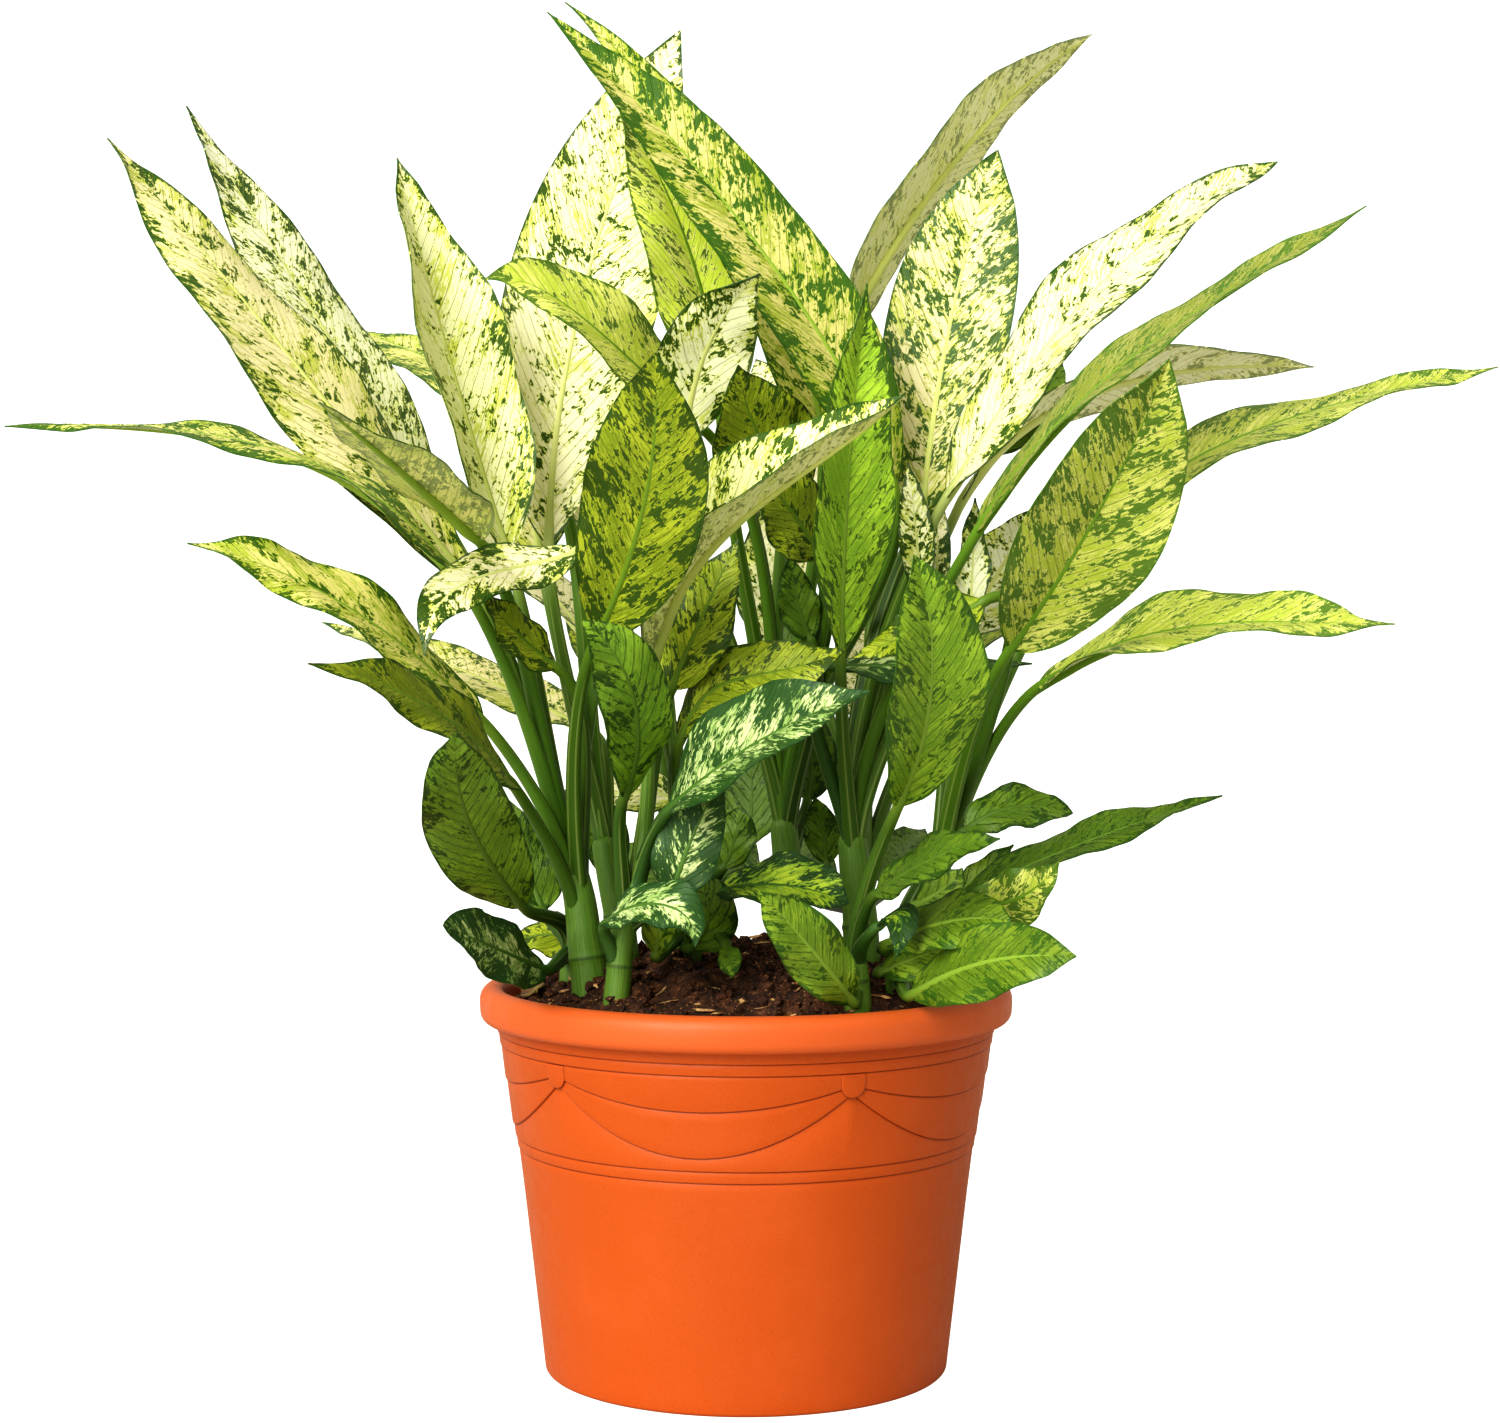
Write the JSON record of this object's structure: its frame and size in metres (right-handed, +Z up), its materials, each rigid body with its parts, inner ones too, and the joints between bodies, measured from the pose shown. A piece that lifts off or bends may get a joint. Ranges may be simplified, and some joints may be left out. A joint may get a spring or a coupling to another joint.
{
  "type": "potted dieffenbachia",
  "caption": "Bushy house plant with variegated lance-shaped leaves on upright stems, growing from soil in a round tapered plastic pot with a rolled rim and a raised garland.",
  "frame": {"origin": "centre of the pot's flat base, on the surface that it stands on", "axes": "+Z up along the pot's axis, -Y towards the front view of the plant, +X to the right of that view"},
  "size_m": [0.7389, 0.5209, 0.7082],
  "materials": {
    "pot_plastic": "moulded terracotta-coloured plastic with a soft sheen and fine speckle",
    "soil": "dark crumbly potting soil with pale fibres",
    "dry_leaf": "dry brown leaf",
    "foliage": "smooth waxy leaves, cream to yellow-green with dark green flecks and margins, on green stalks"
  },
  "bodies": {
    "root": {"pot": "pot_plastic", "soil": "soil", "dry_leaf": "dry_leaf", "leafy_stem_left_cane": "foliage", "leafy_stem_left_low": "foliage", "leafy_stem_left_back": "foliage", "leafy_stem_back_left": "foliage", "leafy_stem_front_left": "foliage", "leafy_stem_middle": "foliage", "leafy_stem_rear_middle": "foliage", "leafy_stem_right_cane": "foliage", "leafy_stem_right_side": "foliage", "leafy_stem_front_right": "foliage", "leafy_stem_right_low": "foliage", "leafy_stem_rear_left": "foliage", "leafy_stem_rear_right": "foliage"}
  },
  "joints": []
}
